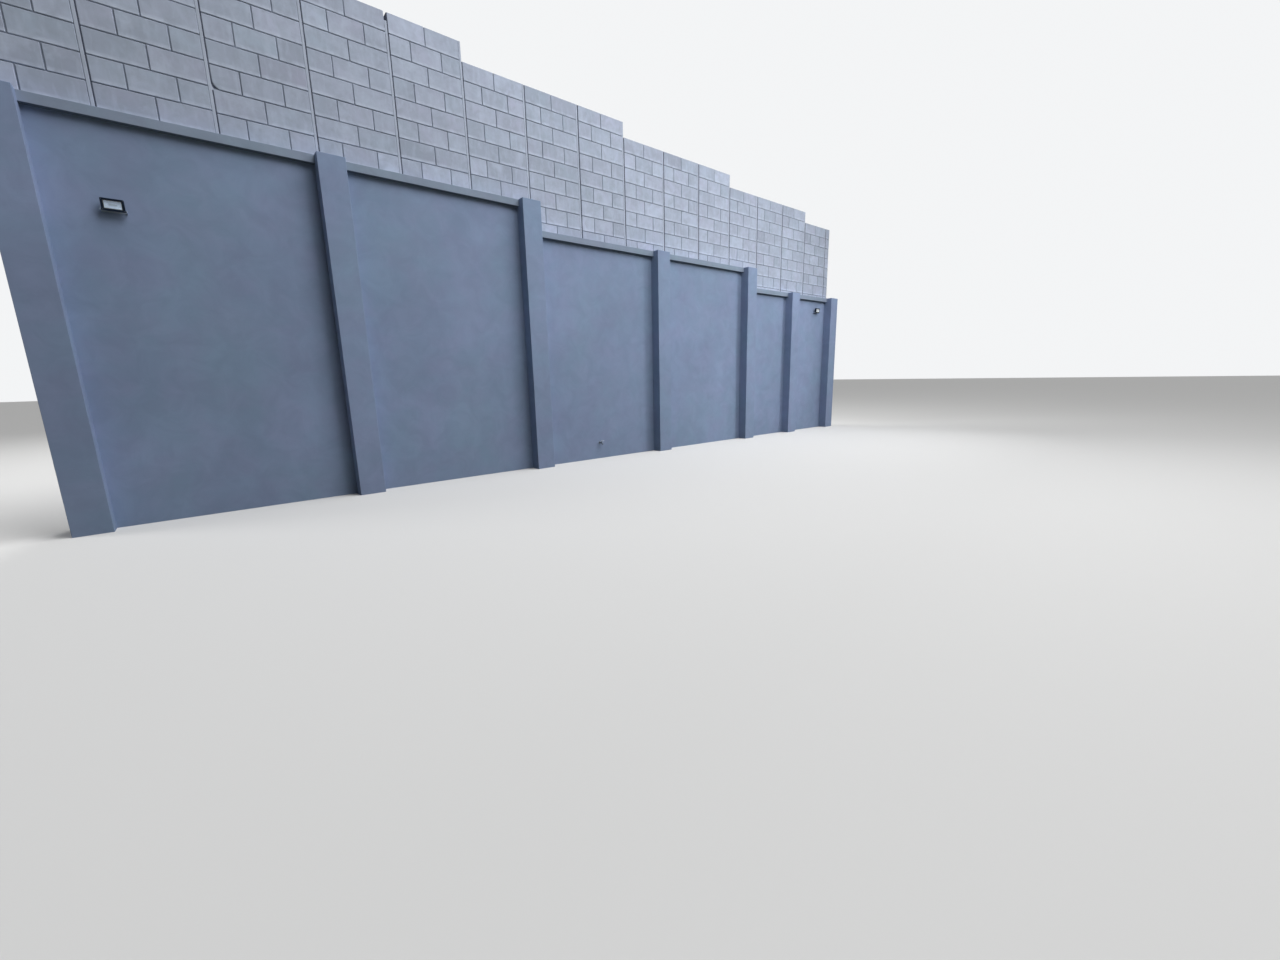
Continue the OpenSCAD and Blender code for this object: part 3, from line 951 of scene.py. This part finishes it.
class WALL_OT_floodlights(Operator):
    """Make the floodlights: case, fins, frame screws, reflector, light board and seal"""

    bl_idname = "garden_wall.floodlights"
    bl_label = "Floodlights"

    def execute(self, context):
        s = context.scene.garden_wall_lamps
        black = powder_coat("lamp_black", s.case)
        steel = galvanised("lamp_bracket", (0.32, 0.38, 0.48))
        white = reflector("lamp_reflector", (0.80, 0.89, 1.0), 0.30)
        board_white = reflector("lamp_board", (0.54, 0.63, 0.74), 0.5)
        phosphor = reflector("lamp_phosphor", (0.60, 0.58, 0.40), 0.4)
        screws = plated("lamp_screws", (0.20, 0.20, 0.21))
        seal = rubber("lamp_seal")
        for which, clearness in LAMPS.items():
            glass = lamp_glass(f"lamp_glass_{which}", clearness)
            pivot = Matrix.Translation(lamp_place(which)) @ Matrix.Rotation(s.tilt, 4, "X")
            turn = pivot @ Matrix.Translation((0, -s.thickness / 2, s.rise))
            for part, finish in (("bracket", steel), ("glass", glass)):
                for slot in NODES[f"floodlight_{part}_{which}"].material_slots:
                    slot.material = finish
            self.case(s, which, turn, [black, screws])
            self.inside(s, which, turn, white, board_white, phosphor, seal)
        return {"FINISHED"}

    def case(self, s, which, turn, finishes):
        """Die-cast case with its front at nought and its back at its thickness."""
        w, h, rim, back = s.width, s.height, s.rim, s.thickness

        def ring(inset, depth):
            corner = max(s.corner - inset * 0.6, 2 * MM)
            return round_rect(w - 2 * inset, h - 2 * inset, corner, depth)

        rings = [ring(3 * MM, back), ring(1 * MM, back - 1 * MM), ring(0, back - 3 * MM),
                 ring(0, 12 * MM), ring(1.2 * MM, 11.4 * MM), ring(1.2 * MM, 10 * MM),
                 ring(0, 9.4 * MM), ring(0, 2 * MM), ring(0.6 * MM, 0.6 * MM), ring(2 * MM, 0),
                 ring(5 * MM, 0), ring(6 * MM, 0.7 * MM), ring(rim - 3 * MM, 0.7 * MM),
                 ring(rim - 0.5 * MM, 1.8 * MM), ring(rim, 4 * MM),
                 ring(rim + 5 * MM, 4 * MM), ring(rim + 6 * MM, 16 * MM)]
        build = Builder().add(*placed(loft([r[::-1] for r in rings]), turn))
        for x in np.linspace(13.5 * MM - w / 2, w / 2 - 13.5 * MM, FINS):
            fin = soft_box((x - 1.5 * MM, back - 1 * MM, -h / 2 + 12 * MM),
                           (x + 1.5 * MM, back + 9 * MM, h / 2 - 12 * MM), 0.7 * MM, 20 * MM)
            build.add(*placed(fin, turn))
        for side in (-1, 1):
            axle = Matrix.Translation((side * w / 2, back / 2, -s.rise)) \
                @ Matrix.Rotation(side * math.pi / 2, 4, "Y")
            build.add(*placed(lathe(LAMP_WASHER), turn @ axle))
        for x in (-1, 1):
            for z in (-1, 1):
                at = Matrix.Translation((x * (w - rim) / 2, 1.4 * MM, z * (h - rim) / 2)) \
                    @ Matrix.Rotation(math.pi / 2, 4, "X")
                build.add(*placed(lathe(LAMP_SCREW, 20), turn @ at), slot=1)
        build.piece(f"lamp_case_{which}", finishes, "lamp_black",
                    [f"floodlight_housing_{which}"])

    def inside(self, s, which, turn, white, board_white, phosphor, seal):
        """Reflector tray, light board and seal behind and round the glass."""
        w, h = s.width - 2 * s.rim, s.height - 2 * s.rim

        def ring(inset, depth):
            return round_rect(w - 2 * inset, h - 2 * inset, 4 * MM, depth)

        bowl = [ring(31 * MM, 14.6 * MM), ring(30 * MM, 14.4 * MM), ring(8 * MM, 5.4 * MM),
                ring(6.4 * MM, 4.6 * MM), ring(6.4 * MM, 5.4 * MM), ring(30.4 * MM, 15.4 * MM)]
        Builder().add(*placed(loft(bowl), turn)).piece(
            f"lamp_reflector_{which}", [white], "lamp_glass")
        build = Builder()
        build.add(*placed(soft_box((-34 * MM, 13.0 * MM, -9 * MM), (34 * MM, 14.5 * MM, 9 * MM),
                                   0.4 * MM, 10 * MM), turn))
        for column in range(9):
            for line in (-1, 1):
                x, z = (column - 4) * 7.0 * MM, line * 4.2 * MM
                chip = soft_box((x - 1.7 * MM, 12.2 * MM, z - 1.7 * MM),
                                (x + 1.7 * MM, 13.1 * MM, z + 1.7 * MM), 0.3 * MM, 2 * MM)
                build.add(*placed(chip, turn), slot=1)
        build.piece(f"lamp_board_{which}", [board_white, phosphor], "lamp_glass")
        outer, inner = ring(0.15 * MM, 0.2 * MM), ring(2.4 * MM, 0.2 * MM)
        seal_rings = [outer, inner, ring(2.4 * MM, -0.3 * MM), ring(1.2 * MM, -0.6 * MM),
                      ring(0.15 * MM, -0.3 * MM), outer]
        points, faces = loft(seal_rings, False, False)
        Builder().add(*placed((points, faces), turn)).piece(
            f"lamp_seal_{which}", [seal], "lamp_black")


# Tap; profiles are radius and height in millimetres, the first three out from the wall
TAP_PLATE = [(0, 0), (28, 0), (28, 1.2), (26, 3.4), (19, 4.9), (12.5, 5.2), (11, 6), (11, 22),
             (10.4, 22.5), (10.4, 23.5), (11, 24), (11, 40.5), (0, 40.5)]
TAP_HEXAGON = [(0, 24), (13.2, 24), (14.4, 25), (14.4, 33), (13.2, 34), (0, 34)]
TAP_BARREL = [(0, 39), (12.6, 39), (14.4, 40.6), (15, 43), (15, 66), (14.2, 68.6), (12, 70),
              (0, 70)]
TAP_BONNET = [(0, 6), (10.5, 6), (10.5, 16), (10, 17), (0, 17)]
TAP_NUT = [(0, 17), (10.2, 17), (11.2, 18), (11.2, 25), (10.2, 26), (0, 26)]
TAP_NECK = [(0, 26), (6, 26), (5, 27), (5, 32), (0, 32)]
TAP_HUB = [(0, 32), (8.2, 32), (9, 33), (9, 39), (7, 41), (4.2, 41), (3.9, 39.6), (0, 39.6)]
# Middle of the body above the lowest point of the spout, the stem and the spout from the wall
TAP_DROP, TAP_STEM, TAP_SPOUT = 34 * MM, 55 * MM, 90 * MM
SPOUT_BEND, THREAD_TURNS = 20 * MM, 4


class WALL_OT_tap(Operator):
    """Make the garden tap: wall plate, body, spout, packing nut and lever"""

    bl_idname = "garden_wall.tap"
    bl_label = "Tap"

    def execute(self, context):
        s = context.scene.garden_wall_tap
        low, high = box_of("tap_body")
        at = Matrix.Translation(((low[ROW_AXIS] + high[ROW_AXIS]) / 2, high[DEPTH_AXIS],
                                 low[UP_AXIS] + TAP_DROP))
        stem = at @ Matrix.Translation((0, -TAP_STEM, 0))
        self.body(s, at, stem)
        self.lever(s, stem)
        return {"FINISHED"}

    def body(self, s, at, stem):
        """Wall plate, hexagon, barrel, bonnet and nut, and the bent spout with its thread."""
        out = at @ Matrix.Rotation(math.pi / 2, 4, "X")
        mouth = at @ Matrix.Translation((0, -TAP_SPOUT, 0))
        build = Builder()
        for profile, sides, place in ((TAP_PLATE, 48, out), (TAP_HEXAGON, 6, out),
                                      (TAP_BARREL, 48, out), (TAP_BONNET, 40, stem),
                                      (TAP_NUT, 6, stem), (TAP_NECK, 28, stem)):
            build.add(*placed(lathe(profile, sides), place))
        bend = [(0, -66 * MM, 0)]
        bend += [(0, -70 * MM - SPOUT_BEND * math.sin(a), -SPOUT_BEND + SPOUT_BEND * math.cos(a))
                 for a in np.linspace(0, math.pi / 2, 12)]
        bend += [(0, -TAP_SPOUT, -22 * MM)]
        build.add(*placed(swept(bend, [10 * MM] + [9 * MM] * 13), at))
        thread = [(0, -20), (11.2, -20), (12.5, -21), (12.5, -24)]
        for turn in range(THREAD_TURNS):
            place = -24.4 - turn * 2.1
            thread += [(11.2, place), (12.4, place - 1.0)]
        thread += [(10.6, -33.2), (8.4, -34), (7.6, -34), (7.6, -26), (0, -26)]
        build.add(*placed(lathe(thread[::-1], 40), mouth))
        # Painted shade: the body's plate takes the dark colour
        build.piece("tap_and_spout", [plated("tap_body_shaded_plate", s.metal)], "tap_metal",
                    ["tap_body"])

    def lever(self, s, stem):
        """Hub and flat lever, drawn in a little along its length and round at its end."""
        build = Builder().add(*placed(lathe(TAP_HUB, 36), stem))
        outline = ((-1, -0.5), (-0.9, -1), (0.9, -1), (1, -0.5), (1, 0.5), (0.9, 1), (-0.9, 1),
                   (-1, 0.5))
        blade = []
        for share in np.linspace(0, 1, 12):
            x = s.lever_length * share
            half = (7 - 1.4 * math.sin(math.pi * share)) * MM
            end = math.sqrt(max(0.06, 1 - max(0, share - 0.88) ** 2 / 0.0145))
            rise = 0.4 * MM * math.sin(math.pi * share)
            blade.append([(x, y * half * end, 38.5 * MM + rise + z * 1.9 * MM)
                          for y, z in outline])
        build.add(*placed(loft(blade), stem))
        build.piece("tap_handle", [plated("tap_lever_plate", s.bright)], "tap_metal",
                    ["tap_lever"])


# Stage
class WALL_OT_stage(Operator):
    """Set up the floor, the light and the camera"""

    bl_idname = "garden_wall.stage"
    bl_label = "Stage"

    def execute(self, context):
        s = context.scene.garden_wall_stage
        self.floor(s)
        self.world(context, s)
        self.lights(s)
        self.camera(context, s)
        context.scene.view_settings.view_transform = "Standard"
        return {"FINISHED"}

    def floor(self, s):
        """A wide floor, a hair under the wall's foot."""
        reach = 90.0
        corners = [(-reach, -reach), (reach, -reach), (reach, reach), (-reach, reach)]
        mesh = bpy.data.meshes.new("floor")
        mesh.from_pydata([(x, y, -SKIN) for x, y in corners], [], [(0, 1, 2, 3)])
        mesh.materials.append(stage_finish("floor_finish", s.floor, s.bounce))
        floor = bpy.data.objects.new("floor", mesh)
        bpy.context.scene.collection.objects.link(floor)

    def world(self, context, s):
        """Even light for the wall, and the pale backdrop for the eye, gloss and glass."""
        world = bpy.data.worlds.new("studio")
        world.use_nodes = True
        tree = world.node_tree
        tree.nodes.clear()
        both = tree.nodes.new("ShaderNodeMixShader")
        tree.links.new(seen_rays(tree), both.inputs[0])
        for place, colour, strength in ((1, (0.97, 0.985, 1.0, 1.0), s.fill),
                                        (2, rgba(s.backdrop), 1.0)):
            light = tree.nodes.new("ShaderNodeBackground")
            light.inputs["Color"].default_value = colour
            light.inputs["Strength"].default_value = strength
            tree.links.new(light.outputs[0], both.inputs[place])
        out = tree.nodes.new("ShaderNodeOutputWorld")
        tree.links.new(both.outputs[0], out.inputs["Surface"])
        context.scene.world = world

    def lights(self, s):
        """Five large lamps and the soft light of the sky."""
        self.panel("key", s.key, (2.9, -8.0, 9.5), (1.5, 0, 2), 6.0)
        self.panel("near", s.near, (-2.0, -7.5, 12.0), (-2.0, 0, 4.0), 5.0)
        self.panel("far", s.far, (9.0, -8.0, 6.5), (4.0, 0, 1.6), 3.0, math.radians(70))
        self.panel("rear", s.rear, (-1.0, 12.0, 12.0), (0, 0, 3.0), 8.0)
        self.panel("end", s.end, (-15.5, 4.0, 8.0), (-7.5, 0, 3.2), 4.0)
        sky = self.lamp("sky", "SUN", s.sky, Vector((-1.5, 0.8, -3.0)))
        sky.data.angle = math.radians(40)

    def panel(self, name, power, place, target, size, spread=math.pi):
        """A square lamp that the camera doesn't see."""
        made = self.lamp(name, "AREA", power, Vector(target) - Vector(place))
        made.data.size, made.data.spread = size, spread
        made.location = place
        made.visible_camera = False

    def lamp(self, name, kind, strength, way):
        """A lamp of any kind that shines this way."""
        data = bpy.data.lights.new(name, kind)
        data.energy = strength
        made = bpy.data.objects.new(name, data)
        bpy.context.scene.collection.objects.link(made)
        made.rotation_euler = way.to_track_quat("-Z", "Y").to_euler()
        return made

    def camera(self, context, s):
        """The photograph's camera, turned, tipped and rolled about its own axes."""
        ahead = Vector((math.sin(s.turn) * math.cos(s.dip), math.cos(s.turn) * math.cos(s.dip),
                        -math.sin(s.dip)))
        level = Vector((math.cos(s.turn), -math.sin(s.turn), 0))
        rise = level.cross(ahead)
        right = math.cos(s.roll) * level + math.sin(s.roll) * rise
        up = math.cos(s.roll) * rise - math.sin(s.roll) * level
        data = bpy.data.cameras.new("camera")
        data.sensor_width, data.lens = 36.0, s.lens
        data.clip_start, data.clip_end = 0.05, 400.0
        camera = bpy.data.objects.new("camera", data)
        context.scene.collection.objects.link(camera)
        pose = Matrix((right, up, -ahead)).transposed().to_4x4()
        pose.translation = Vector(s.eye)
        camera.matrix_world = pose
        context.scene.camera = camera


# Panel and run
class WALL_PT_sidebar(Panel):
    """Lists the steps that build the wall's looks"""

    bl_idname = "WALL_PT_sidebar"
    bl_label = "Garden Wall"
    bl_space_type = "VIEW_3D"
    bl_region_type = "UI"
    bl_category = "Garden Wall"

    def draw(self, context):
        """A button for each step, with its settings under it."""
        for name, group in (("garden_wall.panels", "coat"), ("garden_wall.piers", "coat"),
                            ("garden_wall.copings", "coat"), ("garden_wall.blocks", "blocks"),
                            ("garden_wall.floodlights", "lamps"), ("garden_wall.tap", "tap"),
                            ("garden_wall.stage", "stage")):
            box = self.layout.box()
            box.operator(name)
            settings = getattr(context.scene, "garden_wall_" + group)
            for field in settings.__annotations__:
                box.prop(settings, field)


SETTINGS = {"coat": RenderCoatSettings, "blocks": BlockSettings, "lamps": LampSettings,
            "tap": TapSettings, "stage": StageSettings}
STEPS = (WALL_OT_panels, WALL_OT_piers, WALL_OT_copings, WALL_OT_blocks, WALL_OT_floodlights,
         WALL_OT_tap, WALL_OT_stage)


def register():
    """Makes the classes and the settings known to Blender."""
    for kind in (*SETTINGS.values(), *STEPS, WALL_PT_sidebar):
        bpy.utils.register_class(kind)
    for name, kind in SETTINGS.items():
        setattr(bpy.types.Scene, "garden_wall_" + name, PointerProperty(type=kind))


def unregister():
    """Takes them away again."""
    for name in SETTINGS:
        delattr(bpy.types.Scene, "garden_wall_" + name)
    for kind in reversed((*SETTINGS.values(), *STEPS, WALL_PT_sidebar)):
        bpy.utils.unregister_class(kind)


def main():
    """Builds every piece in order."""
    register()
    bpy.ops.garden_wall.panels()
    bpy.ops.garden_wall.piers()
    bpy.ops.garden_wall.copings()
    bpy.ops.garden_wall.blocks()
    bpy.ops.garden_wall.floodlights()
    bpy.ops.garden_wall.tap()
    bpy.ops.garden_wall.stage()


if __name__ == "__main__":
    main()
